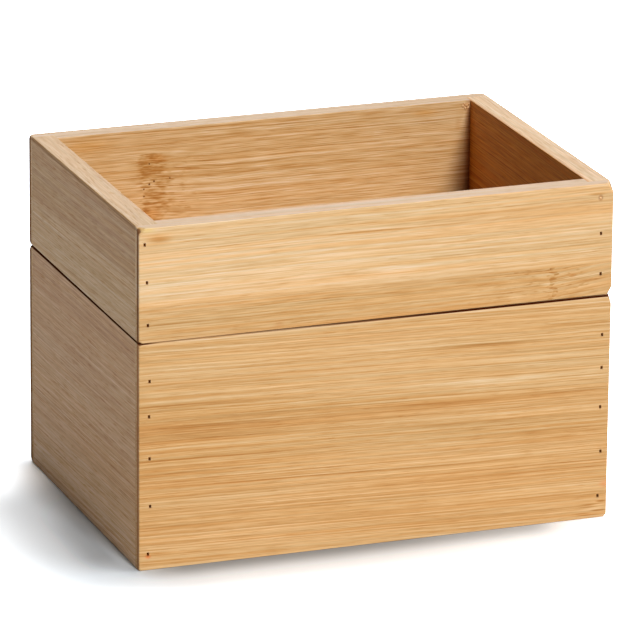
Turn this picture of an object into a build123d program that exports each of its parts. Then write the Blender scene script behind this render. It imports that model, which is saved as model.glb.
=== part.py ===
from build123d import *

import os
from dataclasses import dataclass

# A recipe card box of solid bamboo boards, in millimetres.
#
# A deep box holds the cards, and a shallow open tray stands on it. Each is four boards pinned
# round a floor: the long front and back boards are rebated at their ends and lap the short side
# boards, and every board is grooved to hold its floor. The tray's floor hangs a little below the
# tray's walls and drops into the mouth of the deep box, which keeps the tray from sliding off.
#
# +Z is up, the front faces -Y, +X runs along the front, and the origin is the middle of the
# footprint at the height of the table.

# Outside sizes
BOX_WIDTH = 170.0
BOX_DEPTH = 120.0
BASE_HEIGHT = 80.0
TRAY_HEIGHT = 40.0

# Boards and their corner joints
BOARD = 8.0  # thickness of every wall board
REBATE_LIP = 4.0  # wood of a long board that covers the end of a short one

# Sanding: the walls are sanded as one ring once they are glued up
OUTER_EASE = 0.35  # radius on the outer edges
INNER_EASE = 0.2  # radius round the mouth
CORNER_SOFTNESS = 0.6  # radius that a worn corner blends with, over the least of its reaches

SEAM_EASE = 0.6  # radius on the deep box's outer edges at the seam
SEAM_BEARING = 3.0  # width of the tray's lower edges, from the inside, that bears on the deep box

# Floors and the grooves that hold them
GROOVE_DEPTH = 3.0
TONGUE_SHY = 0.3  # room left between a floor's edge and the bottom of its groove
TONGUE_FIT = 0.05  # room above and below a floor in its groove
BASE_FLOOR = 4.0
BASE_FLOOR_RISE = 3.0  # underside of the deep box's floor above the table
TRAY_TONGUE = 3.0
TRAY_TONGUE_RISE = 2.0  # underside of the tray's tongue above the lower edge of its walls
PLUG_DEPTH = 3.0  # how far the tray's floor reaches into the deep box
PLUG_PLAY = 0.5  # room round the tray's floor in the mouth of the deep box
PLUG_LEAD = 1.0  # bevel that guides the tray's floor into the mouth

# Headless pins of flat wire, driven through the long boards into the ends of the short ones
PIN_WIDTH = 0.8  # along the board
PIN_THICKNESS = 1.2  # up the board
PIN_LENGTH = 19.0
PIN_POINT = 1.6  # length of the chisel point
PIN_SINK = 0.8  # depth of the head below the face of the board
PIN_FIT = 0.02  # room round a pin in its hole


@dataclass(frozen=True)
class PinRow:
    """A row of hand-driven pins down one corner.

    foot is the lowest pin's height above the lower edge of the walls, and head is the highest
    one's distance below the upper edge. steps places each pin between the two, and insets is each
    pin's distance from the end of the board.
    """

    foot: float
    head: float
    steps: tuple
    insets: tuple


@dataclass(frozen=True)
class Worn:
    """How far the sander reached from a corner: along the front, back along the side, and upright."""

    width: float
    depth: float
    height: float


@dataclass(frozen=True)
class SeamSide:
    """A side of the tray whose lower edge stands off the deep box on the outside.

    x and y point out of the side, gap is the height at its middle, and skew is how much higher it
    is at the side's right or back end, and lower at the other.
    """

    x: int
    y: int
    gap: float
    skew: float = 0.0


@dataclass(frozen=True)
class WornEnd:
    """The four worn corners at the top or the foot of a box."""

    front_left: Worn
    front_right: Worn
    back_left: Worn
    back_right: Worn

    def at(self, x, y):
        """The worn corner nearest to a place on the plan."""
        if y < 0:
            return self.front_left if x < 0 else self.front_right
        return self.back_left if x < 0 else self.back_right


TRAY_RIM = WornEnd(Worn(2.0, 3.0, 3.0), Worn(2.4, 3.6, 3.2), Worn(1.3, 1.3, 1.3), Worn(1.5, 1.5, 1.5))
TRAY_FOOT = WornEnd(Worn(1.3, 1.6, 1.6), Worn(1.9, 3.4, 3.2), Worn(1.4, 1.4, 1.4), Worn(1.5, 1.5, 1.5))
BASE_RIM = WornEnd(Worn(1.2, 1.4, 1.4), Worn(1.7, 3.0, 2.8), Worn(1.4, 1.4, 1.6), Worn(1.5, 1.5, 1.5))
BASE_FOOT = WornEnd(Worn(0.9, 0.9, 0.9), Worn(1.3, 1.5, 1.2), Worn(1.4, 1.4, 1.4), Worn(1.4, 1.4, 1.4))

BASE_STEPS = (0.0, 0.277, 0.554, 0.797, 1.0)
TRAY_STEPS = (0.0, 0.53, 1.0)
BASE_LEFT_ROW = PinRow(foot=5.7, head=13.3, steps=BASE_STEPS, insets=(3.1, 3.9, 3.7, 3.5, 3.7))
BASE_RIGHT_ROW = PinRow(foot=7.9, head=13.8, steps=BASE_STEPS, insets=(3.4, 2.7, 3.2, 3.0, 3.1))
TRAY_LEFT_ROW = PinRow(foot=6.3, head=5.6, steps=TRAY_STEPS, insets=(3.1, 2.8, 2.0))
TRAY_RIGHT_ROW = PinRow(foot=8.1, head=4.8, steps=TRAY_STEPS, insets=(4.2, 4.4, 4.8))

# Worked out from the sizes above
INNER_WIDTH = BOX_WIDTH - 2 * BOARD
INNER_DEPTH = BOX_DEPTH - 2 * BOARD


@dataclass(frozen=True)
class Storey:
    """One of the two boxes: where its walls stand, its sanded corners, its groove and its pins."""

    name: str
    bottom: float
    height: float
    top_worn: WornEnd
    bottom_worn: WornEnd
    top_ease: float
    seam_sides: tuple
    groove_rise: float
    tongue: float
    left_row: PinRow
    right_row: PinRow


BASE = Storey(
    name="base",
    bottom=0.0,
    height=BASE_HEIGHT,
    top_worn=BASE_RIM,
    bottom_worn=BASE_FOOT,
    top_ease=SEAM_EASE,
    seam_sides=(),
    groove_rise=BASE_FLOOR_RISE,
    tongue=BASE_FLOOR,
    left_row=BASE_LEFT_ROW,
    right_row=BASE_RIGHT_ROW,
)
TRAY = Storey(
    name="tray",
    bottom=BASE_HEIGHT,
    height=TRAY_HEIGHT,
    top_worn=TRAY_RIM,
    bottom_worn=TRAY_FOOT,
    top_ease=OUTER_EASE,
    seam_sides=(
        SeamSide(0, -1, gap=0.5, skew=0.2),
        SeamSide(-1, 0, gap=0.6, skew=0.2),
        SeamSide(0, 1, gap=0.6),
        SeamSide(1, 0, gap=0.5),
    ),
    groove_rise=TRAY_TONGUE_RISE,
    tongue=TRAY_TONGUE,
    left_row=TRAY_LEFT_ROW,
    right_row=TRAY_RIGHT_ROW,
)

# The faces that take pins. Seen from outside, local x runs to the right and local y runs up.
FRONT_FACE = Plane(origin=(0, -BOX_DEPTH / 2, 0), x_dir=(1, 0, 0), z_dir=(0, -1, 0))
BACK_FACE = Plane(origin=(0, BOX_DEPTH / 2, 0), x_dir=(-1, 0, 0), z_dir=(0, 1, 0))


def save(builder, name):
    """Label a finished piece and write it to its own file."""
    builder.part.label = name
    export_step(builder.part, f"parts/{name}.step")


def long_edges(ring):
    """The outer edges that run the length of a wall or up a corner, without those of worn corners."""
    return ring.edges().filter_by(lambda edge: edge.length > TRAY_HEIGHT / 2)


def seam_cut(bottom, side):
    """The plane that lifts the lower edge of one side of the tray off the deep box."""
    slope = side.gap / (BOARD - SEAM_BEARING)
    lean = side.skew / (BOX_DEPTH / 2 if side.x else BOX_WIDTH / 2)
    outside = Vector(side.x * BOX_WIDTH / 2, side.y * BOX_DEPTH / 2, bottom + side.gap)
    upward = Vector(-slope * side.x - lean * abs(side.y), -slope * side.y - lean * abs(side.x), 1)
    return Plane(origin=outside, z_dir=upward)


def sanded_ring(storey):
    """The four walls as one ring, with the eased edges and worn corners that the sander leaves."""
    middle = storey.bottom + storey.height / 2
    with BuildPart() as ring:
        with BuildSketch(Plane.XY.offset(storey.bottom)):
            Rectangle(BOX_WIDTH, BOX_DEPTH)
        extrude(amount=storey.height)
        for x, y, z in [tuple(corner) for corner in ring.vertices()]:
            worn = (storey.top_worn if z > middle else storey.bottom_worn).at(x, y)
            reach = Vector(
                worn.width if x > 0 else -worn.width,
                worn.depth if y > 0 else -worn.depth,
                worn.height if z > middle else -worn.height,
            )
            outward = Vector(1 / reach.X, 1 / reach.Y, 1 / reach.Z)
            split(bisect_by=Plane(origin=(x - reach.X, y, z), z_dir=outward), keep=Keep.BOTTOM)
            facet = ring.faces().sort_by_distance((x, y, z))[0]
            fillet(facet.edges(), CORNER_SOFTNESS * min(worn.width, worn.depth, worn.height))
        fillet(long_edges(ring) - long_edges(ring).group_by(Axis.Z)[-1], OUTER_EASE)
        fillet(long_edges(ring).group_by(Axis.Z)[-1], storey.top_ease)
        for side in storey.seam_sides:
            split(bisect_by=seam_cut(storey.bottom, side), keep=Keep.TOP)
        with BuildSketch(Plane.XY.offset(storey.bottom)):
            Rectangle(INNER_WIDTH, INNER_DEPTH)
        extrude(amount=storey.height, mode=Mode.SUBTRACT)
        mouth = ring.faces().sort_by(Axis.Z)[-1].inner_wires()[0]
        fillet(mouth.edges(), INNER_EASE)
    return ring.part


def groove_section(storey):
    """Height of a groove's middle above the table, and its width."""
    width = storey.tongue + 2 * TONGUE_FIT
    return storey.bottom + storey.groove_rise + storey.tongue / 2, width


def pin_places(storey, row, hand):
    """Places of a row's pins on a pinned face, with hand -1 at its left end and +1 at its right."""
    low = storey.bottom + row.foot
    high = storey.bottom + storey.height - row.head
    return [
        (hand * (BOX_WIDTH / 2 - inset), low + (high - low) * step)
        for step, inset in zip(row.steps, row.insets)
    ]


def pin_holes(storey):
    """Every pin's hole in a box, as square rods that are cut out of its boards."""
    places = pin_places(storey, storey.left_row, -1) + pin_places(storey, storey.right_row, 1)
    with BuildPart() as holes:
        for face in (FRONT_FACE, BACK_FACE):
            with BuildSketch(face):
                with Locations(*places):
                    Rectangle(PIN_WIDTH + 2 * PIN_FIT, PIN_THICKNESS + 2 * PIN_FIT)
            extrude(amount=-(PIN_SINK + PIN_LENGTH))
    return holes.part


def long_board(storey, ring, holes, side):
    """The front (side -1) or back (side +1) board, rebated at both ends and grooved for the floor."""
    groove_height, groove_width = groove_section(storey)
    inner_face = side * INNER_DEPTH / 2
    rebate_middle = side * (BOX_DEPTH / 2 - (REBATE_LIP + BOARD) / 2)
    with BuildPart() as board:
        with BuildSketch(Plane.XY.offset(storey.bottom)):
            with Locations((0, side * (BOX_DEPTH - BOARD) / 2)):
                Rectangle(BOX_WIDTH, BOARD)
            with Locations(
                (-(BOX_WIDTH - BOARD) / 2, rebate_middle), ((BOX_WIDTH - BOARD) / 2, rebate_middle)
            ):
                Rectangle(BOARD, BOARD - REBATE_LIP, mode=Mode.SUBTRACT)
        extrude(amount=storey.height)
        add(ring, mode=Mode.INTERSECT)
        with BuildSketch(Plane.YZ):
            with Locations((inner_face, groove_height)):
                Rectangle(2 * GROOVE_DEPTH, groove_width)
        extrude(amount=BOX_WIDTH / 2, both=True, mode=Mode.SUBTRACT)
        add(holes, mode=Mode.SUBTRACT)
    return board


def short_board(storey, ring, holes, side):
    """The left (side -1) or right (side +1) board, which fits between the rebates."""
    groove_height, groove_width = groove_section(storey)
    inner_face = side * INNER_WIDTH / 2
    with BuildPart() as board:
        with BuildSketch(Plane.XY.offset(storey.bottom)):
            with Locations((side * (BOX_WIDTH - BOARD) / 2, 0)):
                Rectangle(BOARD, BOX_DEPTH - 2 * REBATE_LIP)
        extrude(amount=storey.height)
        add(ring, mode=Mode.INTERSECT)
        with BuildSketch(Plane.XZ):
            with Locations((inner_face, groove_height)):
                Rectangle(2 * GROOVE_DEPTH, groove_width)
        extrude(amount=BOX_DEPTH / 2, both=True, mode=Mode.SUBTRACT)
        add(holes, mode=Mode.SUBTRACT)
    return board


def tongue_outline():
    """Width and depth of a floor where it lies in the grooves."""
    reach = 2 * (GROOVE_DEPTH - TONGUE_SHY)
    return INNER_WIDTH + reach, INNER_DEPTH + reach


def pin_group(storey, row, face, hand):
    """The pins of one corner, each a length of flat wire cut to a chisel point."""
    head = -PIN_SINK
    tip = -PIN_SINK - PIN_LENGTH
    with BuildPart() as pin:
        with BuildSketch(Plane.YZ):
            with BuildLine():
                Polyline(
                    (-PIN_THICKNESS / 2, head),
                    (PIN_THICKNESS / 2, head),
                    (PIN_THICKNESS / 2, tip + PIN_POINT),
                    (0, tip),
                    (-PIN_THICKNESS / 2, tip + PIN_POINT),
                    close=True,
                )
            make_face()
        extrude(amount=PIN_WIDTH / 2, both=True)
    with BuildPart() as pins:
        for x, height in pin_places(storey, row, hand):
            with Locations(face * Location((x, height, 0))):
                add(pin.part)
    return pins


def build_walls_and_pins(storey):
    """Write the four wall boards of a box and the pins of its four corners."""
    ring = sanded_ring(storey)
    holes = pin_holes(storey)
    save(long_board(storey, ring, holes, -1), f"{storey.name}_front_panel")
    save(long_board(storey, ring, holes, 1), f"{storey.name}_back_panel")
    save(short_board(storey, ring, holes, -1), f"{storey.name}_left_panel")
    save(short_board(storey, ring, holes, 1), f"{storey.name}_right_panel")
    save(pin_group(storey, storey.left_row, FRONT_FACE, -1), f"{storey.name}_front_left_nails")
    save(pin_group(storey, storey.right_row, FRONT_FACE, 1), f"{storey.name}_front_right_nails")
    save(pin_group(storey, storey.left_row, BACK_FACE, -1), f"{storey.name}_back_right_nails")
    save(pin_group(storey, storey.right_row, BACK_FACE, 1), f"{storey.name}_back_left_nails")


os.makedirs("parts", exist_ok=True)
build_walls_and_pins(BASE)
build_walls_and_pins(TRAY)

# The deep box's floor: a plain panel that lies in the grooves
with BuildPart() as base_floor_panel:
    with BuildSketch(Plane.XY.offset(BASE_FLOOR_RISE)):
        Rectangle(*tongue_outline())
    extrude(amount=BASE_FLOOR)
save(base_floor_panel, "base_floor_panel")

# The tray's floor: a tongue in the grooves, and below it the plug that drops into the deep box
with BuildPart() as tray_floor_panel:
    tongue_bottom = BASE_HEIGHT + TRAY_TONGUE_RISE
    with BuildSketch(Plane.XY.offset(tongue_bottom)):
        Rectangle(*tongue_outline())
    extrude(amount=TRAY_TONGUE)
    with BuildSketch(Plane.XY.offset(tongue_bottom)):
        Rectangle(INNER_WIDTH - 2 * PLUG_PLAY, INNER_DEPTH - 2 * PLUG_PLAY)
    extrude(amount=-(TRAY_TONGUE_RISE + PLUG_DEPTH))
    chamfer(faces().sort_by(Axis.Z)[0].edges(), PLUG_LEAD)
save(tray_floor_panel, "tray_floor_panel")
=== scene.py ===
"""Looks of a recipe card box: a deep bamboo box and the shallow bamboo tray that stands on it.

Lengths are metres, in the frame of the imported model: +Z is up, the front faces -Y, +X runs along
the front, and the origin is the middle of the footprint on the table.
"""

import logging
import math
from dataclasses import dataclass
from enum import Enum
from types import MappingProxyType
from typing import Any, Mapping, Sequence, Union

import bmesh
import bpy
from mathutils import Matrix, Vector, noise


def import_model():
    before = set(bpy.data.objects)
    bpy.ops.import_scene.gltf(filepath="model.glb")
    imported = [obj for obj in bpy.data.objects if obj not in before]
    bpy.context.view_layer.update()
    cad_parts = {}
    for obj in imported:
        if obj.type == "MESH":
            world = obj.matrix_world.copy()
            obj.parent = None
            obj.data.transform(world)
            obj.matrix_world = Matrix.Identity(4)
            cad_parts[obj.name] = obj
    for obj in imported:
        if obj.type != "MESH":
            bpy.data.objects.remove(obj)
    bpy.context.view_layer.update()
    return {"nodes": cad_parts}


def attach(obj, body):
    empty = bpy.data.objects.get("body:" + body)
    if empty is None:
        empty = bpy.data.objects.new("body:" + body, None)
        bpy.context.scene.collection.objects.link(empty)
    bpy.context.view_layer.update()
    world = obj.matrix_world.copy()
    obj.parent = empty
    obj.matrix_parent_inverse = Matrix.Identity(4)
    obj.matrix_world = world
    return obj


LOG = logging.getLogger("recipe_card_box")
MM = 0.001

HALF_WIDTH = 85 * MM
HALF_DEPTH = 60 * MM
WALL = 8 * MM
SEAM_HEIGHT = 80 * MM
RIM_HEIGHT = 120 * MM

Number = Union[int, float]
Triple = tuple[float, float, float]
Stops = Sequence[tuple[float, Triple]]

UNCHANGED: Triple = (1.0, 1.0, 1.0)
NOTHING: Mapping[Any, Any] = MappingProxyType({})


class Field:
    """One output socket of a shader, used as a number in Python expressions."""

    def __init__(self, shader: "Shader", socket: bpy.types.NodeSocket) -> None:
        """Wraps an output socket of one of the shader's nodes."""
        self.shader = shader
        self.socket = socket

    def _math(self, operation: str, *operands: "Number | Field") -> "Field":
        """The result of a Math node, by Blender's name for its operation."""
        sockets = dict(enumerate(operands))
        return self.shader.node("ShaderNodeMath", {"operation": operation}, sockets)

    def __add__(self, other: "Number | Field") -> "Field":
        """Sum of the two."""
        return self._math("ADD", self, other)

    def __mul__(self, other: "Number | Field") -> "Field":
        """Product of the two."""
        return self._math("MULTIPLY", self, other)

    def __sub__(self, other: "Number | Field") -> "Field":
        """This less the other."""
        return self._math("SUBTRACT", self, other)

    def __rsub__(self, other: "Number | Field") -> "Field":
        """The other less this."""
        return self._math("SUBTRACT", other, self)

    def __truediv__(self, other: "Number | Field") -> "Field":
        """This over the other."""
        return self._math("DIVIDE", self, other)

    def __abs__(self) -> "Field":
        """Size without sign."""
        return self._math("ABSOLUTE", self)

    def clamp(self, low: float, high: float) -> "Field":
        """This, held between low and high."""
        return self._math("MINIMUM", self._math("MAXIMUM", self, low), high)

    def smooth(self, start: float, end: float) -> "Field":
        """Eases from 0 where this is start to 1 where it is end."""
        settings = {"interpolation_type": "SMOOTHSTEP"}
        return self.shader.node("ShaderNodeMapRange", settings, {0: self, 1: start, 2: end})


Axes = tuple[Field, Field, Field]


class Shader:
    """Builds the nodes of one material or world."""

    def __init__(self, tree: bpy.types.NodeTree) -> None:
        """Empties a material's or world's own node tree and takes it over."""
        self.tree = tree
        self.tree.nodes.clear()

    def node(
        self,
        kind: str,
        settings: Mapping[str, Any] = NOTHING,
        sockets: Mapping[Union[int, str], Any] = NOTHING,
        output: Union[int, str, None] = 0,
    ) -> "Field | None":
        """Adds a node.

        Args:
            kind: the node's Blender type.
            settings: the node's own options, set before its sockets; "stops" fills a ramp.
            sockets: a value or a field for each input that is named or numbered.
            output: the output to return, or None for a node that has none.

        Returns:
            The chosen output.
        """
        made = self.tree.nodes.new(kind)
        for name, option in settings.items():
            if name == "stops":
                self._fill_ramp(made.color_ramp, option)
            else:
                setattr(made, name, option)
        for key, given in sockets.items():
            if isinstance(given, Field):
                self.tree.links.new(given.socket, made.inputs[key])
            elif made.inputs[key].type == "RGBA":
                made.inputs[key].default_value = (*given, 1.0)
            else:
                made.inputs[key].default_value = given
        return None if output is None else Field(self, made.outputs[output])

    @staticmethod
    def _fill_ramp(ramp: bpy.types.ColorRamp, stops: Stops) -> None:
        """Sets a ramp's stops.

        Args:
            ramp: the ramp of a new node, which has two stops.
            stops: place and colour of each stop, in order.
        """
        while len(ramp.elements) < len(stops):
            ramp.elements.new(1.0)
        for element, (place, colour) in zip(ramp.elements, stops):
            element.position = place
            element.color = (*colour, 1.0)

    def outputs(self, field: Field, *names: str) -> tuple[Field, ...]:
        """Other outputs of the node that a field comes from."""
        return tuple(Field(self, field.socket.node.outputs[name]) for name in names)

    def _axes(self, coordinate: str) -> Axes:
        """One of the object's own coordinates, as three numbers."""
        vector = self.node("ShaderNodeTexCoord", output=coordinate)
        return self.outputs(self.node("ShaderNodeSeparateXYZ", {}, {0: vector}), "X", "Y", "Z")

    def position(self) -> Axes:
        """The point on the object."""
        return self._axes("Object")

    def facing(self) -> Axes:
        """The surface's normal on the object."""
        return self._axes("Normal")

    def point(self, x: Field, y: Field, z: "Number | Field") -> Field:
        """Three numbers as one vector."""
        return self.node("ShaderNodeCombineXYZ", {}, {0: x, 1: y, 2: z})

    def scaled(self, vector: Field, scale: Triple, shift: Triple) -> Field:
        """A vector times a scale for each axis, then moved by a shift along each."""
        sockets = {0: vector, 1: scale, 2: shift}
        return self.node("ShaderNodeVectorMath", {"operation": "MULTIPLY_ADD"}, sockets)

    def length(self, vector: Field) -> Field:
        """A vector's length."""
        settings = {"operation": "LENGTH"}
        return self.node("ShaderNodeVectorMath", settings, {0: vector}, "Value")

    def noise(
        self, where: Field, scale: Triple, seed: float, detail: float = 2.0, rough: float = 0.5
    ) -> Field:
        """Smooth noise about zero, mostly within a quarter of it.

        Args:
            where: the point to look at.
            scale: features to the metre along each axis.
            seed: which noise of that kind.
            detail: how many finer noises are laid over the first.
            rough: how strong the finer ones are.

        Returns:
            The noise.
        """
        point = self.scaled(where, scale, (seed,) * 3)
        sockets = {"Vector": point, "Scale": 1.0, "Detail": detail, "Roughness": rough}
        return self.node("ShaderNodeTexNoise", {}, sockets) - 0.5

    def dots(self, where: Field, scale: Triple, seed: float) -> tuple[Field, Field]:
        """Scattered points.

        Args:
            where: the point to look at.
            scale: points to the metre along each axis.
            seed: which scatter of that kind.

        Returns:
            Distance to the nearest point, and a number between 0 and 1 that is that point's own.
        """
        sockets = {"Vector": self.scaled(where, scale, (seed,) * 3), "Scale": 1.0}
        distance = self.node("ShaderNodeTexVoronoi", {}, sockets, "Distance")
        colour = self.outputs(distance, "Color")[0]
        own = self.node("ShaderNodeSeparateColor", {}, {0: colour})
        return distance, own

    def ramp(self, place: Field, stops: Stops) -> Field:
        """A colour that follows a number through stops."""
        return self.node("ShaderNodeValToRGB", {"stops": stops}, {0: place})

    def mix(
        self,
        factor: "Number | Field",
        first: "Triple | Field",
        second: "Triple | Field",
        blend: str = "MIX",
    ) -> Field:
        """The first colour blended towards the second, in one of Blender's blend modes."""
        settings = {"data_type": "RGBA", "blend_type": blend}
        return self.node("ShaderNodeMix", settings, {0: factor, 6: first, 7: second}, 2)

    def bump(self, height: Field, distance: float) -> Field:
        """A normal pushed about by relief, where a height of 1 stands for a distance."""
        sockets = {"Height": height, "Distance": distance, "Strength": 1.0}
        return self.node("ShaderNodeBump", {}, sockets)

    def surface(self, **sockets: Any) -> None:
        """Ends a material in a Principled BSDF.

        Args:
            **sockets: what goes into each input, named with underscores for its spaces.
        """
        named = {key.replace("_", " "): given for key, given in sockets.items()}
        shaded = self.node("ShaderNodeBsdfPrincipled", {}, named)
        self.node("ShaderNodeOutputMaterial", {}, {"Surface": shaded}, None)


@dataclass(frozen=True)
class Finish:
    """What a piece is made of; each kind of finish shades itself."""

    name: str

    def material(self) -> bpy.types.Material:
        """Builds the finish.

        Returns:
            The material.
        """
        material = bpy.data.materials.new(self.name)
        material.use_nodes = True
        self.shade(Shader(material.node_tree))
        return material

    def shade(self, shader: Shader) -> None:
        """Fills the material through its shader."""
        raise NotImplementedError


class Grain(Enum):
    """How a board lies: the axes along its fibres, across its face and through its thickness."""

    LONG_BOARD = (0, 2, 1)
    SHORT_BOARD = (1, 2, 0)
    FLOOR = (0, 1, 2)

    @property
    def inner(self) -> float:
        """Distance from the middle of the box to a wall's inner face."""
        return (HALF_DEPTH if self is Grain.LONG_BOARD else HALF_WIDTH) - WALL


class Layer(Enum):
    """A layer of noise in the wood.

    Each holds its features to the metre along, across and through the board, what it adds to the
    seed of the board or knuckle, how many finer noises it has, and how strong those are.
    """

    WANDER = ((11, 22, 30), 0, 1, 0.5)
    CLOUD = ((5, 55, 50), 11, 2, 0.5)
    STREAK = ((7, 230, 160), 23, 2, 0.5)
    FIBRE = ((7, 760, 520), 37, 1, 0.5)
    LINE = ((9, 1900, 1300), 41, 1, 0.5)
    HAIR = ((95, 3000, 2100), 43, 1, 0.5)
    DASH = ((150, 2300, 1600), 53, 1, 0.5)
    VESSEL = ((7, 1250, 850), 61, 0, 0.5)
    CLOSE_HUE = ((11, 900, 620), 97, 1, 0.5)
    WIDE_HUE = ((6, 110, 80), 101, 1, 0.5)
    RAGGED = ((60, 420, 300), 0, 2, 0.6)
    BLOTCH = ((130, 210, 210), 5, 2, 0.6)
    FLECK = ((330, 1500, 1000), 7, 1, 0.5)
    STROKE = ((120, 950, 700), 9, 1, 0.5)

    def over(self, where: Field, seed: float) -> Field:
        """The layer's noise at a point among the fibres, for a board's or a knuckle's seed."""
        scale, step, detail, rough = self.value
        return where.shader.noise(where, scale, seed + step, detail, rough)


def weighed(layers: Mapping[Layer, Field], weights: Mapping[Layer, float]) -> Field:
    """Adds up layers of noise, each times its weight."""
    first, *others = (layers[layer] * weight for layer, weight in weights.items())
    return sum(others, first)


@dataclass(frozen=True)
class Ease:
    """A number that eases from 0 at start to its full size at end."""

    start: float
    end: float
    size: float = 1.0

    def at(self, place: Field) -> Field:
        """The number at a place."""
        return place.smooth(self.start, self.end) * self.size


@dataclass(frozen=True)
class Spot:
    """The point that is shaded.

    axes is the point on the box and normals the surface's normal there. along is the distance
    along the board, depth that from the middle of the box through the board, and rise the height
    across the fibres. path is the point among the fibres, and end is 1 on end grain.
    """

    wood: Shader
    axes: Axes
    normals: Axes
    along: Field
    depth: Field
    rise: Field
    path: Field
    end: Field


@dataclass(frozen=True)
class Strip:
    """One strip of cane in a board, from its lower edge up to the next strip's."""

    edge: float
    tone: float


@dataclass(frozen=True)
class Patch:
    """A patch among the fibres, with its middle and its half lengths."""

    along: float
    across: float
    length: float
    thickness: float

    @classmethod
    def rows(cls, *rows: Sequence[Any]) -> tuple:
        """Makes a patch of each row of values, where the four lengths are millimetres."""
        return tuple(cls(*(part * MM for part in row[:4]), *row[4:]) for row in rows)

    def cover(self, spot: Spot, fall: float) -> Field:
        """How much of the patch lies on a point.

        Args:
            spot: the point.
            fall: how far the fibres fall for each metre along the board.

        Returns:
            1 in its middle, falling to 0 at its edge.
        """
        across = self.across + self.along * fall
        scale = (1 / self.length, 1 / self.thickness, 0.0)
        shift = (-self.along / self.length, -across / self.thickness, 0.0)
        return spot.wood.length(spot.wood.scaled(spot.path, scale, shift)).smooth(1.0, 0.0)


@dataclass(frozen=True)
class Streak(Patch):
    """A stretch of darker or paler fibres."""

    tone: float


class Face(Enum):
    """The face of a wall that a patch is on, and where in the wall such patches begin."""

    INNER = Ease(1.5 * MM, 0.5 * MM)
    OUTER = Ease(WALL - 2.5 * MM, WALL - 1.5 * MM)

    def share(self, spot: Spot, grain: Grain) -> Field:
        """1 on this face of a wall and 0 on the other."""
        return self.value.at(spot.depth - grain.inner)


@dataclass(frozen=True)
class StainAndShade(Patch):
    """A patch of another hue on one face of a wall, used for marks and for painted shade and light.

    cast is how much it leaves of each colour.
    """

    cast: Triple
    face: Face = Face.OUTER


@dataclass(frozen=True)
class Knuckle:
    """A joint of the cane that crosses one strip: a dark pitted scar and the fibres it disturbs.

    The scar is at along, as wide to either side as width, and goes from low to high. before and
    reach are how far the fibres are disturbed on its two sides, and slant is how many degrees those
    beyond it are turned. stain is how dark the scar is, strokes how strong the fibres are, jagged
    how far noise moves the scar's edges, and soft how far those of the strip are blurred. pitting
    is the scar's pits to the metre.
    """

    along: float
    low: float
    high: float
    width: float
    before: float
    reach: float
    slant: float
    stain: float
    strokes: float = 1.0
    jagged: float = 11 * MM
    soft: float = 0.5 * MM
    pitting: float = 520.0

    def _band(self, rise: Field) -> Field:
        """1 at heights on the knuckle's own strip and 0 off it."""
        lower = rise.smooth(self.low - self.soft, self.low + self.soft)
        return lower * rise.smooth(self.high + self.soft, self.high - self.soft)

    def turn(self, along: Field, rise: Field) -> Field:
        """The height across the fibres, turned beyond the knuckle."""
        beyond = (along - self.along).clamp(0, self.reach)
        return rise - beyond * self._band(rise) * math.tan(math.radians(self.slant))

    def scar(self, spot: Spot, board_seed: float) -> tuple[Field, Field]:
        """Marks the knuckle.

        Args:
            spot: the point.
            board_seed: the board's seed.

        Returns:
            The change of tone, and where the pits are.
        """
        seed = board_seed + self.along / MM
        blotch, fleck, stroke, ragged = (
            layer.over(spot.path, seed)
            for layer in (Layer.BLOTCH, Layer.FLECK, Layer.STROKE, Layer.RAGGED)
        )
        band = self._band(spot.rise)
        off = spot.along - self.along + ragged * self.jagged
        scar = abs(off).smooth(self.width, self.width * 0.6) * band
        near = off.smooth(-self.before, -self.before * 0.2)
        wake = near * off.smooth(self.reach, self.reach * 0.4) * band
        distance, own = spot.wood.dots(spot.path, (self.pitting,) * 3, seed + 13)
        pits = distance.smooth(0.25, 0.12) * own.smooth(0.67, 0.72) * scar
        dark = (blotch * 2.2 - 0.50) * self.stain + fleck * 1.7
        lively = stroke * (self.strokes * 0.7) - fleck.smooth(0.06, 0.26) * 0.26
        return scar * dark + wake * lively, pits


# Lacquered bamboo, from its darkest fibres to its palest.
HONEY: Stops = (
    (0.0, (0.40, 0.170, 0.035)),
    (0.3, (0.52, 0.280, 0.092)),
    (0.5, (0.60, 0.360, 0.150)),
    (0.7, (0.685, 0.450, 0.222)),
    (1.0, (0.78, 0.575, 0.370)),
)


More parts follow.
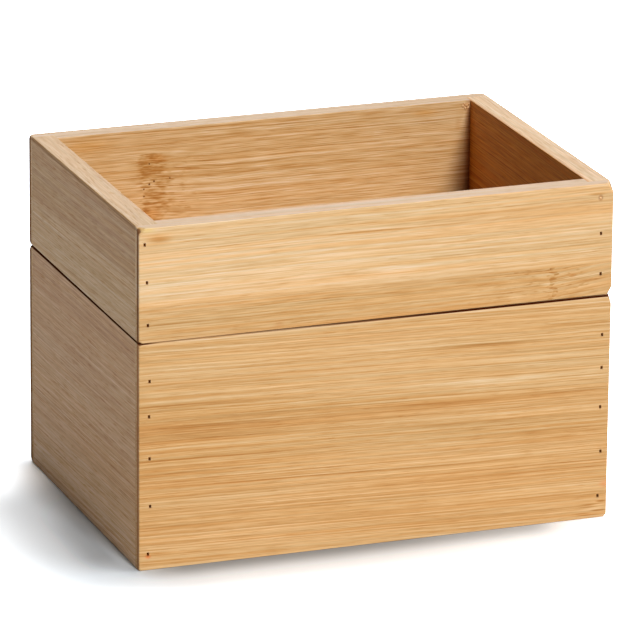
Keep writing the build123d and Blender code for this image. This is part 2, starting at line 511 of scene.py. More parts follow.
@dataclass(frozen=True)
class EdgeLightAndTone:
    """How the edges of a wall look: painted sheen, highlights and shade, and a paler foot.

    level is how flat a face must lie to count as level, calm the share of the grain's contrast
    that such faces lose, and level_sheen the tone they gain, a painted sheen. lip_highlight, foot
    and corner are tones too: a painted highlight on the edge under the seam, a paler foot of the
    box, and painted shade on its upright edges at the back. arris_highlight is how much the edge of
    a long board's rim leaves of each colour, a painted highlight, seam_shade the colour of painted
    shade on the faces that meet at the seam, and line the strength of the lines of painted shade
    beside the side's edges and under its rim.
    """

    level: Ease = Ease(0.8, 0.97)
    calm: float = 0.4
    level_sheen: float = 0.06
    lip_highlight: Ease = Ease(0.6 * MM, 0.15 * MM, 0.16)
    foot: Ease = Ease(1.3 * MM, 0.6 * MM, 0.12)
    corner: float = 0.4
    arris_highlight: Triple = (1.22, 1.20, 1.18)
    seam_shade: Triple = (0.150, 0.022, 0.001)
    line: float = 0.85

    def tone(self, spot: Spot, plain: Field, mean: float) -> Field:
        """Paints sheen on level rims, a highlight under the seam and shade on upright back edges.

        Args:
            spot: the point.
            plain: the tone of the plain wood.
            mean: the tone about which that varies.

        Returns:
            The tone with painted sheen, highlight and shade.
        """
        x, y, z = spot.axes
        level = self.level.at(abs(spot.normals[2]))
        # Painted highlight on the base's edge under the seam.
        lip_highlight = self.lip_highlight.at(abs(z - (SEAM_HEIGHT - 0.6 * MM)))
        # Painted shade on the upright edges at the back.
        brink = Ease(-1.0 * MM, -0.1 * MM)
        corner = brink.at(y - HALF_DEPTH) * brink.at(abs(x) - HALF_WIDTH) * self.corner
        # Level faces lose grain contrast and gain a painted sheen.
        calmed = plain - (plain - mean) * level * self.calm
        return calmed + level * self.level_sheen + lip_highlight + self.foot.at(z) - corner

    def seam_shade_mask(self, spot: Spot, grain: Grain) -> Field:
        """Finds the painted shade on faces that meet at the seam, darkest towards both ends of a
        long board.

        Args:
            spot: the point.
            grain: how the board lies.

        Returns:
            How much shade is painted there.
        """
        x, y, z = spot.axes
        seam = abs(z - (SEAM_HEIGHT + 0.05 * MM)).smooth(0.75 * MM, 0.35 * MM)
        seam = seam * abs(spot.normals[2]).smooth(0.25, 0.6)
        skin = Ease(-1.4 * MM, -0.8 * MM)
        outside = skin.at(abs(x) - HALF_WIDTH) + skin.at(abs(y) - HALF_DEPTH)
        seam_shade = seam * outside.clamp(0, 1)
        if grain is not Grain.LONG_BOARD:
            return seam_shade
        least, right, left = 0.15, Ease(-70 * MM, 40 * MM, 0.85), Ease(-78 * MM, -83 * MM, 0.7)
        return seam_shade * (right.at(x) + left.at(x) + least)

    def edge_shade_lines(self, spot: Spot) -> Field:
        """Finds lines of painted shade on the box's sides, along their edges and under the rim.

        Args:
            spot: the point.

        Returns:
            How dark the painted shade is.
        """
        x, y, z = spot.axes
        upright = abs(abs(y) - (HALF_DEPTH - 1.4 * MM)).smooth(1.2 * MM, 0.4 * MM)
        under_rim = Ease(0.7 * MM, 0.2 * MM, 0.5).at(abs(z - (RIM_HEIGHT - 0.9 * MM)))
        side = abs(x).smooth(HALF_WIDTH - 1.2 * MM, HALF_WIDTH - 0.5 * MM)
        return (upright + under_rim).clamp(0, 1) * side * abs(spot.normals[0]).smooth(0.35, 0.7)

    def rim_edge_highlight(self, spot: Spot) -> Field:
        """Finds the rounded edge from a long board's face to its rim, for a painted highlight.

        Args:
            spot: the point.

        Returns:
            1 on the edge and 0 off it.
        """
        upward = abs(spot.normals[2])
        top = spot.axes[2].smooth(RIM_HEIGHT - 3 * MM, RIM_HEIGHT - 2 * MM)
        return upward.smooth(0.2, 0.5) * upward.smooth(0.98, 0.9) * top


@dataclass(frozen=True)
class Bamboo(Finish):
    """Lacquered bamboo board, glued up from strips of cane.

    Tones are parts of the honey ramp: 0.1 is a clearly paler or darker fibre. The fibres fall tilt
    degrees from the board's edge and stray about a quarter of wander from their line, and tone is
    the whole board's. broad, streaky, fine, line and hair weigh its layers of noise, from the
    widest to the finest. dashes, vessels and hues are how strong its short dark dashes, its pores
    and gleams, and its changes of hue are. inside, rim and end_grain are how much the inner face,
    level faces and end grain leave of each colour; inside is painted shade and rim a painted
    sheen. edge and pit are the colours of the painted shade beside the edges and of a knuckle's
    pits.
    """

    grain: Grain
    seed: float
    edge_light_and_tone: EdgeLightAndTone = EdgeLightAndTone()
    tilt: float = 0.0
    wander: float = 1.6 * MM
    tone: float = 0.0
    broad: float = 0.40
    streaky: float = 0.14
    fine: float = 0.24
    line: float = 0.95
    hair: float = 0.50
    dashes: float = 0.12
    vessels: float = 1.0
    hues: float = 0.75
    # Painted shade on the inner face.
    inside: Triple = UNCHANGED
    # Painted shade beside the edges.
    edge: Triple = (0.150, 0.036, 0.003)
    # Painted sheen on level faces.
    rim: Triple = (1.13, 1.20, 1.36)
    end_grain: Triple = (0.97, 1.0, 1.10)
    pit: Triple = (0.150, 0.040, 0.003)
    relief: float = 0.05 * MM
    strips: tuple[Strip, ...] = ()
    streaks: tuple[Streak, ...] = ()
    stains_and_shade: tuple[StainAndShade, ...] = ()
    knuckles: tuple[Knuckle, ...] = ()

    def shade(self, wood: Shader) -> None:
        """Fills the material.

        Args:
            wood: the material's shader.
        """
        spot = self._spot(wood)
        layers = {layer: layer.over(spot.path, self.seed) for layer in self._weights()}
        dash = Layer.DASH.over(spot.path, self.seed).smooth(0.10, 0.22)
        vessel = Layer.VESSEL.over(spot.path, self.seed)
        pore, gleam = vessel.smooth(0.14, 0.32), vessel.smooth(-0.16, -0.34)
        distance, own = wood.dots(spot.path, (40, 1150, 1150), self.seed + 71)
        bundles = distance.smooth(0.42, 0.12) * (own * 0.5 + 0.5)

        mean = 0.5 + self.tone
        tone = weighed(layers, self._weights()) + mean - dash * self.dashes
        tone = tone - (pore * 0.20 - gleam * 0.16) * self.vessels
        tone = tone - spot.end * (bundles * 0.2 - 0.02) + self._strip_tones(spot)
        for known in self.streaks:
            tone = tone + known.cover(spot, self._fall()) * known.tone
        height = weighed(layers, {Layer.FIBRE: 0.3, Layer.LINE: 0.3, Layer.HAIR: 0.2}) + 0.5
        height = height - dash * 0.5 - pore * 0.4 - spot.end * bundles * 0.6
        rough = weighed(layers, {Layer.FIBRE: 0.2, Layer.CLOUD: 0.25}) + 0.46
        rough = rough + dash * 0.12 + spot.end * 0.15
        marks = [knuckle.scar(spot, self.seed) for knuckle in self.knuckles]
        tone = sum((mark for mark, _ in marks), tone)
        # Level faces get a painted sheen, the edge under the seam a painted highlight, the foot a
        # paler tone and the back edges painted shade.
        if self.grain is not Grain.FLOOR:
            tone = self.edge_light_and_tone.tone(spot, tone, mean)

        colour = self._cast(spot, wood.ramp(tone, HONEY))
        for known in self.stains_and_shade:
            mask = known.cover(spot, self._fall()) * known.face.share(spot, self.grain)
            colour = wood.mix(mask, colour, known.cast, "MULTIPLY")
        colour = wood.mix(spot.end, colour, self.end_grain, "MULTIPLY")
        matt: "Number | Field" = 0.0
        if self.grain is not Grain.FLOOR:
            # Rims get a painted sheen and their edges a painted highlight; the seam and the side's
            # edges get painted shade, and metallic darkens the seam's painted shade further.
            colour, seam_shade, line = self._age(spot, colour)
            rough = rough + seam_shade * 0.6 + line * 0.4
            matt = seam_shade * 0.9
        for _, scattered in marks:
            pits = scattered.clamp(0, 1)
            colour = wood.mix(pits * 0.85, colour, self.pit)
            height = height - pits * 0.5
            matt = matt + pits * 0.9
        wood.surface(
            Base_Color=colour,
            Metallic=matt,
            Roughness=rough.clamp(0.25, 1.0),
            Specular_IOR_Level=0.3,
            Normal=wood.bump(height, self.relief),
        )

    def _weights(self) -> dict[Layer, float]:
        """How much each layer of noise changes the tone."""
        return {
            Layer.CLOUD: self.broad,
            Layer.STREAK: self.streaky,
            Layer.FIBRE: self.fine,
            Layer.LINE: self.line,
            Layer.HAIR: self.hair,
        }

    def _fall(self) -> float:
        """How far the fibres fall for each metre along the board."""
        return math.tan(math.radians(self.tilt))

    def _spot(self, wood: Shader) -> Spot:
        """Finds the point, following the fibres as they tilt, wander and turn at knuckles.

        Args:
            wood: the shader.

        Returns:
            The point.
        """
        axes, normals = wood.position(), wood.facing()
        along, across, through = (axes[i] for i in self.grain.value)
        drift = Layer.WANDER.over(wood.point(along, across, through), self.seed)
        rise = across + along * self._fall() + drift * self.wander
        for knuckle in self.knuckles:
            rise = knuckle.turn(along, rise)
        path = wood.point(along, rise, through)
        end = abs(normals[self.grain.value[0]]).smooth(0.6, 0.9)
        return Spot(wood, axes, normals, along, abs(through), rise, path, end)

    def _age(self, spot: Spot, colour: Field) -> tuple[Field, Field, Field]:
        """Paints sheen on the rims, a highlight on their edges, and shade at the seam and the
        edges.

        Args:
            spot: the point.
            colour: the colour so far.

        Returns:
            The colour, and how much shade is painted at the seam and along the edges.
        """
        wood, edge_light_and_tone = spot.wood, self.edge_light_and_tone
        # Painted sheen on level faces.
        colour = wood.mix(edge_light_and_tone.level.at(abs(spot.normals[2])), colour, self.rim, "MULTIPLY")
        # A long board's rim edge gets a painted highlight.
        if self.grain is Grain.LONG_BOARD:
            colour = wood.mix(edge_light_and_tone.rim_edge_highlight(spot), colour, edge_light_and_tone.arris_highlight, "MULTIPLY")
        # Painted shade along the side's edges and at the seam.
        line, seam_shade = edge_light_and_tone.edge_shade_lines(spot), edge_light_and_tone.seam_shade_mask(spot, self.grain)
        colour = wood.mix(line * edge_light_and_tone.line, colour, self.edge)
        return wood.mix(seam_shade, colour, edge_light_and_tone.seam_shade), seam_shade, line

    def _cast(self, spot: Spot, colour: Field) -> Field:
        """Varies the hue from fibre to fibre, and paints shade on the inner face if inside is set.

        Args:
            spot: the point.
            colour: the colour so far.

        Returns:
            The colour, warmer and cooler in places, and darker with painted shade on the inner
            face.
        """
        wood = spot.wood
        close = Layer.CLOSE_HUE.over(spot.path, self.seed).smooth(-0.22, 0.22)
        wide = Layer.WIDE_HUE.over(spot.path, self.seed).smooth(-0.25, 0.25)
        near = wood.mix(close, (1.035, 0.96, 0.86), (0.97, 1.03, 1.13))
        far = wood.mix(wide, (1.02, 0.975, 0.93), (0.985, 1.02, 1.06))
        colour = wood.mix(self.hues, colour, near, "MULTIPLY")
        colour = wood.mix(self.hues, colour, far, "MULTIPLY")
        if self.inside == UNCHANGED:
            return colour
        # Painted shade on the inner face of the wall.
        mouth = (spot.depth - self.grain.inner).smooth(0.9 * MM, 0.3 * MM)
        return wood.mix(1.0, colour, wood.mix(mouth, UNCHANGED, self.inside), "MULTIPLY")

    def _strip_tones(self, spot: Spot) -> "Number | Field":
        """Gives each strip its own tone, with a hairline of glue between two.

        Args:
            spot: the point.

        Returns:
            The change of tone.
        """
        if not self.strips:
            return 0.0
        span, line, ease, glue = 0.2, 0.12 * MM, 0.35 * MM, 0.03
        stops = []
        for below, strip in zip((None, *self.strips), self.strips):
            start = strip.edge / span + 0.5
            if below is not None:
                hairline = 0.5 - glue + min(below.tone, strip.tone)
                stops.append((start - ease / span, (0.5 + below.tone,) * 3))
                stops.append((start - line / span, (hairline,) * 3))
                start += ease / span
            stops.append((start, (0.5 + strip.tone,) * 3))
        grey = spot.wood.ramp(spot.rise / span + 0.5, stops)
        return spot.wood.node("ShaderNodeRGBToBW", {}, {0: grey}) - 0.5


@dataclass(frozen=True)
class RustedSteel(Finish):
    """Steel wire under a film of brown rust, dull where the punch struck it."""

    dark: Triple = (0.100, 0.012, 0.001)
    rust: Triple = (0.200, 0.060, 0.004)
    grime: float = 900.0  # features to the metre
    scale: float = 3200.0
    relief: float = 0.02 * MM

    def shade(self, steel: Shader) -> None:
        """Fills the material.

        Args:
            steel: the material's shader.
        """
        point = steel.point(*steel.position())
        grime = steel.noise(point, (self.grime,) * 3, 3.0)
        scale = steel.noise(point, (self.scale,) * 3, 8.0, 1)
        steel.surface(
            Base_Color=steel.ramp(grime + 0.5, [(0.3, self.dark), (0.75, self.rust)]),
            Metallic=1.0,
            Roughness=(grime * 0.5 + 0.7).clamp(0.45, 1.0),
            Normal=steel.bump(scale, self.relief),
        )


@dataclass(frozen=True)
class Paper(Finish):
    """Plain white studio paper, burned out away from a painted soft shadow of what stands on it.

    The painted shadow's middle is a rectangle from left to right and from front to back, and there
    the paper has the share of light middle. near and far bring the painted light back with the
    distance from the rectangle, of which only the shares leftward, rightward and backward count on
    those sides. beam is painted light that brightens the paper towards the right, and pool painted
    shade that darkens a patch beside the box, between the eases of pool_x and pool_y. lit is the
    colour of the painted light, which only the camera sees, and white that of the bare paper,
    which light bouncing off it sees.
    """

    name: str = "studio_paper"
    white: float = 0.93
    left: float = -66 * MM
    right: float = 54 * MM
    front: float = -59.5 * MM
    back: float = 10 * MM
    leftward: float = 0.5
    rightward: float = 0.8
    backward: float = 0.9
    middle: float = 0.34
    near: Ease = Ease(1 * MM, 16 * MM, 0.72)
    far: Ease = Ease(14 * MM, 42 * MM, 1.7)
    beam: Ease = Ease(-20 * MM, 80 * MM, 0.3)
    pool: float = 0.38
    pool_x: tuple[Ease, Ease] = (Ease(-86 * MM, -91 * MM), Ease(-105 * MM, -93 * MM))
    pool_y: tuple[Ease, Ease] = (Ease(-60 * MM, -40 * MM), Ease(20 * MM, -20 * MM))
    lit: Triple = (0.95, 1.01, 1.06)
    tooth: float = 1500.0  # features to the metre
    relief: float = 0.02 * MM

    def shade(self, paper: Shader) -> None:
        """Fills the material.

        Args:
            paper: the material's shader.
        """
        axes = paper.position()
        light = self._painted_light(paper, axes)
        bright = paper.point(*(light * part for part in self.lit))
        # Only the camera sees the painted shadow; light that bounces off the paper sees it bare and
        # white.
        seen = paper.node("ShaderNodeLightPath", output="Is Camera Ray")
        tooth = paper.noise(paper.point(*axes), (self.tooth,) * 3, 5.0)
        paper.surface(
            Base_Color=paper.mix(seen, (self.white,) * 3, bright),
            Roughness=0.9,
            Specular_IOR_Level=0.2,
            Normal=paper.bump(tooth, self.relief),
        )

    def _painted_light(self, paper: Shader, axes: Axes) -> Field:
        """Finds how bright the painted light and shadow make the paper look to the camera.

        Args:
            paper: the shader.
            axes: the point on the floor.

        Returns:
            The share of light.
        """
        x, y, _ = axes
        beside = (self.left - x).clamp(0, 1) * self.leftward
        beside = beside + (x - self.right).clamp(0, 1) * self.rightward
        beyond = (self.front - y).clamp(0, 1) + (y - self.back).clamp(0, 1) * self.backward
        away = paper.length(paper.point(beside, beyond, 0.0))
        light = self.near.at(away) + self.far.at(away) + self.middle + self.beam.at(x)
        pool = self.pool_x[0].at(x) * self.pool_x[1].at(x)
        pool = pool * self.pool_y[0].at(y) * self.pool_y[1].at(y)
        return light - light * pool * self.pool


@dataclass(frozen=True)
class DriedGlue(Finish):
    """Amber glue that dried in crumbs, with dust in its hollows and specks of it on top."""

    name: str = "dried_glue"
    pale: Triple = (0.80, 0.52, 0.26)
    amber: Triple = (0.52, 0.24, 0.07)
    dust: Triple = (0.22, 0.060, 0.008)
    lump: float = 1300.0  # features to the metre
    speck: float = 1900.0
    relief: float = 0.15 * MM

    def shade(self, glue: Shader) -> None:
        """Fills the material.

        Args:
            glue: the material's shader.
        """
        point = glue.point(*glue.position())
        lumps = glue.noise(point, (self.lump,) * 3, 4.0, 3, 0.6)
        distance, own = glue.dots(point, (self.speck,) * 3, 9.0)
        specks = distance.smooth(0.38, 0.2) * own.smooth(0.5, 0.6)
        stops = [(0.32, self.dust), (0.44, self.amber), (0.56, self.pale)]
        glue.surface(
            Base_Color=glue.mix(specks * 0.8, glue.ramp(lumps + 0.5, stops), self.dust),
            Roughness=(lumps * 0.6 + 0.5).clamp(0.3, 0.8),
            Normal=glue.bump(lumps, self.relief),
        )


def closed_piece(
    name: str, mesh: bmesh.types.BMesh, material: bpy.types.Material
) -> bpy.types.Object:
    """Turns a mesh into a smooth piece of the tray.

    Args:
        name: what the piece is called.
        mesh: its closed mesh, in the frame; it is freed.
        material: its finish.

    Returns:
        The piece.
    """
    bmesh.ops.recalc_face_normals(mesh, faces=mesh.faces)
    data = bpy.data.meshes.new(name)
    mesh.to_mesh(data)
    mesh.free()
    data.polygons.foreach_set("use_smooth", [True] * len(data.polygons))
    data.materials.append(material)
    piece = bpy.data.objects.new(name, data)
    bpy.context.collection.objects.link(piece)
    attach(piece, "tray")
    LOG.info("%s: %s", name, material.name)
    return piece


@dataclass
class PinnedBox:
    """Four boards pinned round a floor, standing open at the top."""

    storey: str
    front: Bamboo
    back: Bamboo
    left: Bamboo
    right: Bamboo
    floor: Bamboo
    pins: RustedSteel

    def dress(self, nodes: Mapping[str, bpy.types.Object]) -> None:
        """Gives each solid of the box its finish.

        Args:
            nodes: the solids by name.
        """
        panels = {
            "front": self.front, "back": self.back, "left": self.left, "right": self.right,
            "floor": self.floor,
        }
        for side, finish in panels.items():
            self._finish(nodes[f"{self.storey}_{side}_panel"], finish.material())
        steel = self.pins.material()
        for corner in ("front_left", "front_right", "back_left", "back_right"):
            self._finish(nodes[f"{self.storey}_{corner}_nails"], steel)

    def _finish(self, solid: bpy.types.Object, material: bpy.types.Material) -> None:
        """Puts a material on every slot of a solid.

        Args:
            solid: the solid.
            material: its finish.
        """
        if not solid.material_slots:
            solid.data.materials.append(material)
        for slot in solid.material_slots:
            slot.material = material
        LOG.info("%s: %s", solid.name, material.name)


@dataclass(frozen=True)
class Plug:
    """A dab of filler that closes the mouth of a pin hole.

    middle is the middle of the mouth and size its width and height. play is left all round, depth
    is how far the plug goes in, dish how far its face sags, and chamfer how far its rim is broken.
    corner is the power that rounds its outline, 1 for a round one and 0 for a square one.
    """

    middle: Triple = (80.2 * MM, -HALF_DEPTH, 115.2 * MM)
    size: tuple[float, float] = (0.84 * MM, 1.24 * MM)
    play: float = 0.01 * MM
    depth: float = 0.6 * MM
    dish: float = 0.14 * MM
    chamfer: float = 0.03 * MM
    corner: float = 0.35
    sides: int = 24

    def mesh(self) -> bmesh.types.BMesh:
        """Builds the plug from rings between its bottom and its dished face.

        Returns:
            The closed mesh.
        """
        mesh = bmesh.new()
        rings = ((self.depth, 1.0), (self.chamfer, 1.0), (self.chamfer, 0.85), (self.dish, 0.4))
        loops = [self._ring(mesh, sink, share) for sink, share in rings]
        for lower, upper in zip(loops, loops[1:]):
            for step in range(self.sides):
                after = (step + 1) % self.sides
                mesh.faces.new((lower[step], lower[after], upper[after], upper[step]))
        mesh.faces.new(loops[0])
        mesh.faces.new(loops[-1])
        return mesh

    def _ring(
        self, mesh: bmesh.types.BMesh, sink: float, share: float
    ) -> list[bmesh.types.BMVert]:
        """Adds one ring of vertices.

        Args:
            mesh: the mesh to add to.
            sink: how far the ring lies behind the board's face.
            share: its size against the hole's.

        Returns:
            The vertices.
        """
        x, y, z = self.middle
        half_width, half_height = (size / 2 - self.play for size in self.size)
        ring = []
        for step in range(self.sides):
            angle = math.tau * step / self.sides
            across, up = (
                math.copysign(abs(part) ** self.corner, part) * share
                for part in (math.cos(angle), math.sin(angle))
            )
            ring.append(mesh.verts.new((x + half_width * across, y + sink, z + half_height * up)))
        return ring


@dataclass(frozen=True)
class Bead:
    """Glue that was squeezed out of a corner and dried in crumbs.

    The crumbs spiral out from middle, each turned by turn from the last, to the half lengths
    spread. Each has the radius crumb, give or take vary by a sine that beat steps through, times
    stretch, and is noisy: lump is how much, never past most, with grain features to the metre and
    finer ones by octaves: their fall-off, their step in scale and their number.
    """

    middle: Triple = (75.3 * MM, 52.0 * MM, 118.1 * MM)
    spread: Triple = (1.6 * MM, 0.6 * MM, 1.0 * MM)
    crumbs: int = 18
    turn: float = 2.4
    crumb: float = 0.30 * MM
    vary: float = 0.13 * MM
    beat: float = 5.1
    stretch: Triple = (1.25, 0.8, 1.0)
    grain: float = 2600.0
    octaves: tuple[float, float, int] = (0.6, 2.2, 3)
    lump: float = 0.6
    most: float = 0.35

    def mesh(self) -> bmesh.types.BMesh:
        """Builds the crumbs.

        Returns:
            The closed mesh.
        """
        mesh = bmesh.new()
        for crumb in range(self.crumbs):
            turn, out = crumb * self.turn, math.sqrt((crumb + 0.5) / self.crumbs)
            spot = (math.cos(turn) * out, 0.0, math.sin(turn) * out)
            middle = Vector(self.middle) + Vector([a * b for a, b in zip(spot, self.spread)])
            size = self.crumb + self.vary * math.sin(crumb * self.beat)
            stretch = Matrix.Diagonal((*(size * share for share in self.stretch), 1.0))
            place = Matrix.Translation(middle) @ Matrix.Rotation(crumb, 4, "Y") @ stretch
            made = bmesh.ops.create_icosphere(mesh, subdivisions=3, radius=1.0, matrix=place)
            for vertex in made["verts"]:
                lump = noise.fractal(vertex.co * self.grain, *self.octaves) * self.lump
                vertex.co += (vertex.co - middle) * max(-self.most, min(self.most, lump))
        return mesh


@dataclass
class Tray(PinnedBox):
    """The open tray, with one filled pin hole and a little squeezed-out glue."""

    glue: DriedGlue = DriedGlue()
    filler: DriedGlue = DriedGlue("hole_filler", pale=(0.86, 0.60, 0.32), amber=(0.60, 0.30, 0.09))
    plug: Plug = Plug()
    bead: Bead = Bead()

    def dress(self, nodes: Mapping[str, bpy.types.Object]) -> None:
        """Gives each solid its finish, and adds the filler and the glue.

        Args:
            nodes: the solids by name.
        """
        super().dress(nodes)
        closed_piece("tray_hole_filler", self.plug.mesh(), self.filler.material())
        closed_piece("tray_glue_bead", self.bead.mesh(), self.glue.material())


@dataclass(frozen=True)
class SoftLight:
    """A lamp behind a large diffuser, far away.

    azimuth is where it stands, from the front towards the right, and elevation how high.
    light is what it adds to a white surface that faces it.
    """

    name: str
    azimuth: float
    elevation: float
    spread: float
    light: float


@dataclass
class Studio:
    """Floor, lights and camera."""

    floor_side: float = 40.0
    floor_drop: float = 0.1 * MM
    paper: Paper = Paper()
    lights: tuple[SoftLight, ...] = (
        SoftLight("front_softbox", azimuth=5.5, elevation=25, spread=11, light=0.794),
        SoftLight("side_softbox", azimuth=75, elevation=60, spread=40, light=0.421),
        SoftLight("hair_softbox", azimuth=180, elevation=60, spread=40, light=0.176),
        SoftLight("back_softbox", azimuth=150, elevation=15, spread=40, light=0.299),
        SoftLight("low_softbox", azimuth=-90, elevation=3, spread=12, light=0.045),
    )
    aim: Triple = (0.0, 0.0, 0.06)
    azimuth: float = -20.419
    elevation: float = 17.758
    roll: float = 0.522
    distance: float = 2.0791
    lens: float = 337.61
    sensor: float = 36.0
    nudge_right: float = 1.250 * MM
    nudge_up: float = 1.597 * MM
    clip: tuple[float, float] = (0.05, 100.0)
    lamp_distance: float = 2.0

    def lay_floor(self) -> None:
        """Lays the paper that the box stands on."""
        half, down = self.floor_side / 2, -self.floor_drop
        corners = [(x * half, y * half, down) for x, y in ((-1, -1), (1, -1), (1, 1), (-1, 1))]
        mesh = bpy.data.meshes.new("studio_floor")
        mesh.from_pydata(corners, [], [(0, 1, 2, 3)])
        mesh.materials.append(self.paper.material())
        floor = bpy.data.objects.new("studio_floor", mesh)
        bpy.context.collection.objects.link(floor)
        LOG.info("studio_floor: %s", self.paper.name)

    @staticmethod
    def _towards(azimuth: float, elevation: float) -> Vector:
        """The direction from the box to a place round it.

        Args:
            azimuth: degrees from the front towards the right.
            elevation: degrees above the table.

        Returns:
            The direction, of length 1.
        """
        turn, lift = math.radians(azimuth), math.radians(elevation)
        flat = math.cos(lift)
        return Vector((math.sin(turn) * flat, -math.cos(turn) * flat, math.sin(lift)))

    def hang_lights(self) -> None:
        """Hangs the soft lights and sets the dim surroundings."""
        for soft in self.lights:
            lamp = bpy.data.lights.new(soft.name, "SUN")
            lamp.energy = soft.light * math.pi
            lamp.angle = math.radians(soft.spread)
            stand = bpy.data.objects.new(soft.name, lamp)
            away = self._towards(soft.azimuth, soft.elevation)
            stand.rotation_mode = "QUATERNION"
            stand.rotation_quaternion = away.to_track_quat("Z", "Y")
            stand.location = away * self.lamp_distance
            bpy.context.collection.objects.link(stand)
            LOG.info("%s: %.2f", soft.name, soft.light)
        world = bpy.data.worlds.new("studio_surroundings")
        bpy.context.scene.world = world
        world.use_nodes = True
        air = Shader(world.node_tree)
        dark = air.node("ShaderNodeBackground", {}, {"Color": (0.0, 0.0, 0.0)})
        air.node("ShaderNodeOutputWorld", {}, {"Surface": dark}, None)

    def place_camera(self) -> None:
        """Stands the camera where the box shows its front, its left side and its inside."""
        away = self._towards(self.azimuth, self.elevation)
        right = (-away).cross(Vector((0, 0, 1))).normalized()
        up = right.cross(-away)
        roll = math.radians(self.roll)
        side = right * math.cos(roll) + up * math.sin(roll)
        top = up * math.cos(roll) - right * math.sin(roll)
        spot = Vector(self.aim) + away * self.distance
        spot += side * self.nudge_right + top * self.nudge_up
        camera = bpy.data.cameras.new("camera")
        camera.sensor_width = self.sensor
        camera.lens = self.lens
        camera.clip_start, camera.clip_end = self.clip
        stand = bpy.data.objects.new("camera", camera)
        turn = Matrix((side, top, away)).transposed().to_4x4()
        stand.matrix_world = Matrix.Translation(spot) @ turn
        bpy.context.collection.objects.link(stand)
        bpy.context.scene.camera = stand
        bpy.context.scene.view_settings.view_transform = "Standard"
        LOG.info("camera: %.0f mm at %.2f m", self.lens, self.distance)


def deep_box() -> PinnedBox:
    """The deep box that holds the cards.

    Returns:
        The box with its finishes.
    """
    front = Bamboo(
        "bamboo_base_front", Grain.LONG_BOARD, seed=3.1, tilt=1.5, tone=-0.06,
        broad=0.36, streaky=0.12, fine=0.20, line=0.86, edge=(0.370, 0.150, 0.060),
        strips=(Strip(0.0, 0.0), Strip(0.0505, 0.045)),
        streaks=Streak.rows(
            (0, 47, 240, 12, -0.10), (-90, 40, 70, 70, -0.08), (40, 67.2, 30, 1.3, -0.30),
            (71, 71.2, 24, 1, -0.18), (-40, 68, 40, 0.6, -0.22), (-64, 49, 36, 1, -0.20),
            (-56, 45.2, 36, 1.1, -0.18), (21, 47.7, 30, 1.3, -0.20), (69, 47.2, 26, 0.7, -0.20),
            (-47, 56, 38, 0.6, -0.16), (63, 34.2, 34, 0.9, -0.16), (-41, 29.2, 56, 0.7, -0.18),
            (-68, 14.2, 24, 1, -0.14), (43, 53.2, 30, 1.3, 0.14), (2, 70.2, 34, 1.3, 0.12),
            (-20, 35, 60, 0.6, -0.20), (10, 26.2, 70, 0.5, -0.18), (-10, 10.5, 60, 0.5, -0.16),
            (83, 5.8, 3, 0.6, -0.60), (79, 5, 7, 0.5, -0.40), (82, 4.6, 5, 0.4, 0.45),
            (77.5, 4, 6, 0.5, -0.30), (80, 3.4, 8, 0.5, 0.40), (82, 2.6, 4, 0.5, -0.60),
            (76, 2, 5, 0.4, -0.35), (78, 1.2, 8, 0.5, -0.40),
        ),
        stains_and_shade=StainAndShade.rows(
            (-81.9, 4.8, 1.6, 1.1, (1.05, 0.55, 0.35)), (84, 12.2, 3, 2.2, (1.05, 0.80, 0.72))
        ),
    )
    # The left side stands in shade: its darker tone is painted shade, and the cool cast over the
    # whole board a painted grey reflection.
    left = Bamboo(
        "bamboo_base_left", Grain.SHORT_BOARD, seed=29.7, tilt=1.0, tone=-0.12,
        broad=0.50, streaky=0.10, fine=0.14, hair=0.75, dashes=0.24, vessels=0.7, hues=0.4,
        strips=(Strip(0.0, 0.03), Strip(0.069, -0.05)),
        streaks=Streak.rows((0, 0, 400, 24, 0.24)),
        stains_and_shade=StainAndShade.rows((0, 40, 1000, 1000, (1.0, 0.98, 1.08))),
    )
    return PinnedBox(
        storey="base",
        front=front,
        back=Bamboo("bamboo_base_back", Grain.LONG_BOARD, seed=17.3, tilt=-0.6),
        left=left,
        right=Bamboo("bamboo_base_right", Grain.SHORT_BOARD, seed=41.9, tilt=-0.8),
        floor=Bamboo("bamboo_base_floor", Grain.FLOOR, seed=59.2),
        pins=RustedSteel("pin_steel_base"),
    )


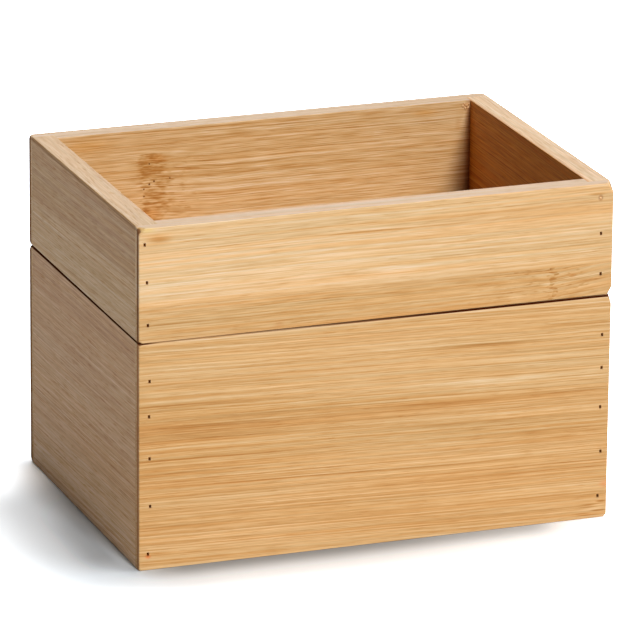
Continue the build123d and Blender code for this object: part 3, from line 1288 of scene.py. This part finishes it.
def tray() -> Tray:
    """The open tray that stands on the deep box.

    Returns:
        The tray with its finishes.
    """
    front = Bamboo(
        "bamboo_tray_front", Grain.LONG_BOARD, seed=71.4, tone=0.13,
        broad=0.31, streaky=0.13, fine=0.12, line=0.60, hair=0.60, vessels=0.6, hues=0.95,
        rim=(0.98, 0.93, 0.97),
        strips=(Strip(0.08, -0.16), Strip(0.0923, 0.05), Strip(0.1115, 0.03)),
        streaks=Streak.rows(
            (-78, 116, 6, 2, -0.30), (79, 116.5, 5, 0.8, -0.30), (-2, 111.5, 29, 0.5, -0.25),
            (-2, 112.3, 29, 0.6, 0.22), (-41, 104, 20, 0.8, -0.25), (-17, 104, 20, 1.6, 0.22),
            (6, 97, 16, 1.8, 0.22),
        ),
        stains_and_shade=StainAndShade.rows(
            (-78, 116.5, 7, 2.4, (1.0, 0.86, 0.68)), (-35.5, 82, 3, 1.6, (0.94, 0.84, 0.74)),
            (-82, 119.6, 4, 1.4, (1.0, 1.03, 0.78)), (70.5, 88.2, 2.4, 1.2, (0.96, 0.82, 0.66)),
            (80.2, 115.2, 1.3, 1.5, (0.45, 0.24, 0.10)),
        ),
        knuckles=(
            Knuckle(
                along=0.063, low=0.078, high=0.0923, width=0.0012, before=0.036, reach=0.022,
                slant=5.0, stain=0.3,
            ),
        ),
    )
    back = Bamboo(
        "bamboo_tray_back", Grain.LONG_BOARD, seed=83.6, tone=0.08,
        broad=0.16, streaky=0.11, fine=0.11, line=1.15, hair=1.15, vessels=0.6, hues=0.4,
        rim=(0.94, 0.93, 0.99),
        strips=(Strip(0.088, 0.0), Strip(0.1113, 0.0)),
        stains_and_shade=StainAndShade.rows(
            (-66, 116, 14, 4, (1.0, 0.90, 0.70), Face.INNER),
            (60, 117.2, 8, 1.8, (1.0, 0.86, 0.62), Face.INNER),
            (-43, 89.5, 6, 4, (1.0, 0.84, 0.62), Face.INNER),
            (-40.5, 109.5, 6, 2.2, (0.98, 0.84, 0.64), Face.INNER),
            (0, 88, 130, 22, (0.94, 0.92, 0.89), Face.INNER),
            (72.4, 112.5, 1.8, 2.6, (0.92, 0.85, 0.74), Face.INNER),
            # The next three are painted light: a pale lit strip, then the shadow that the right
            # wall casts into the inner corner.
            (74.8, 114, 1, 5, (1.06, 1.10, 1.16), Face.INNER),
            (78, 100, 4, 60, (0.42, 0.19, 0.05), Face.INNER),
            (79, 83, 12, 33, (0.35, 0.20, 0.10), Face.INNER),
        ),
        knuckles=(
            Knuckle(
                along=-0.042, low=0.084, high=0.1113, width=0.0055, before=0.010, reach=0.024,
                slant=-3.0, stain=0.45, strokes=1.1,
            ),
        ),
    )
    # The left side stands in shade: its darker tone is painted shade, and the cool cast over the
    # whole board a painted grey reflection.
    left = Bamboo(
        "bamboo_tray_left", Grain.SHORT_BOARD, seed=97.8, tilt=1.6, tone=-0.10,
        broad=0.40, streaky=0.08, fine=0.12, line=0.80, hair=0.75, dashes=0.24, vessels=0.7,
        hues=0.4, strips=(Strip(0.08, 0.05), Strip(0.091, 0.02), Strip(0.1115, -0.15)),
        stains_and_shade=StainAndShade.rows((0, 100, 1000, 1000, (1.01, 1.08, 1.25))),
    )
    # The inner face of the right wall is tinted darker and redder: painted shade.
    right = Bamboo(
        "bamboo_tray_right", Grain.SHORT_BOARD, seed=113.5, tilt=-1.1, line=1.3, hair=1.2,
        inside=(0.95, 0.62, 0.22),
    )
    return Tray(
        storey="tray",
        front=front,
        back=back,
        left=left,
        right=right,
        floor=Bamboo("bamboo_tray_floor", Grain.FLOOR, seed=127.1),
        pins=RustedSteel("pin_steel_tray"),
    )


def main() -> None:
    """Loads the frame, then dresses the two boxes and sets up the studio."""
    logging.basicConfig(level=logging.INFO, format="%(message)s")
    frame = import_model()
    for box in (deep_box(), tray()):
        box.dress(frame["nodes"])
    studio = Studio()
    studio.lay_floor()
    studio.hang_lights()
    studio.place_camera()


if __name__ == "__main__":
    main()
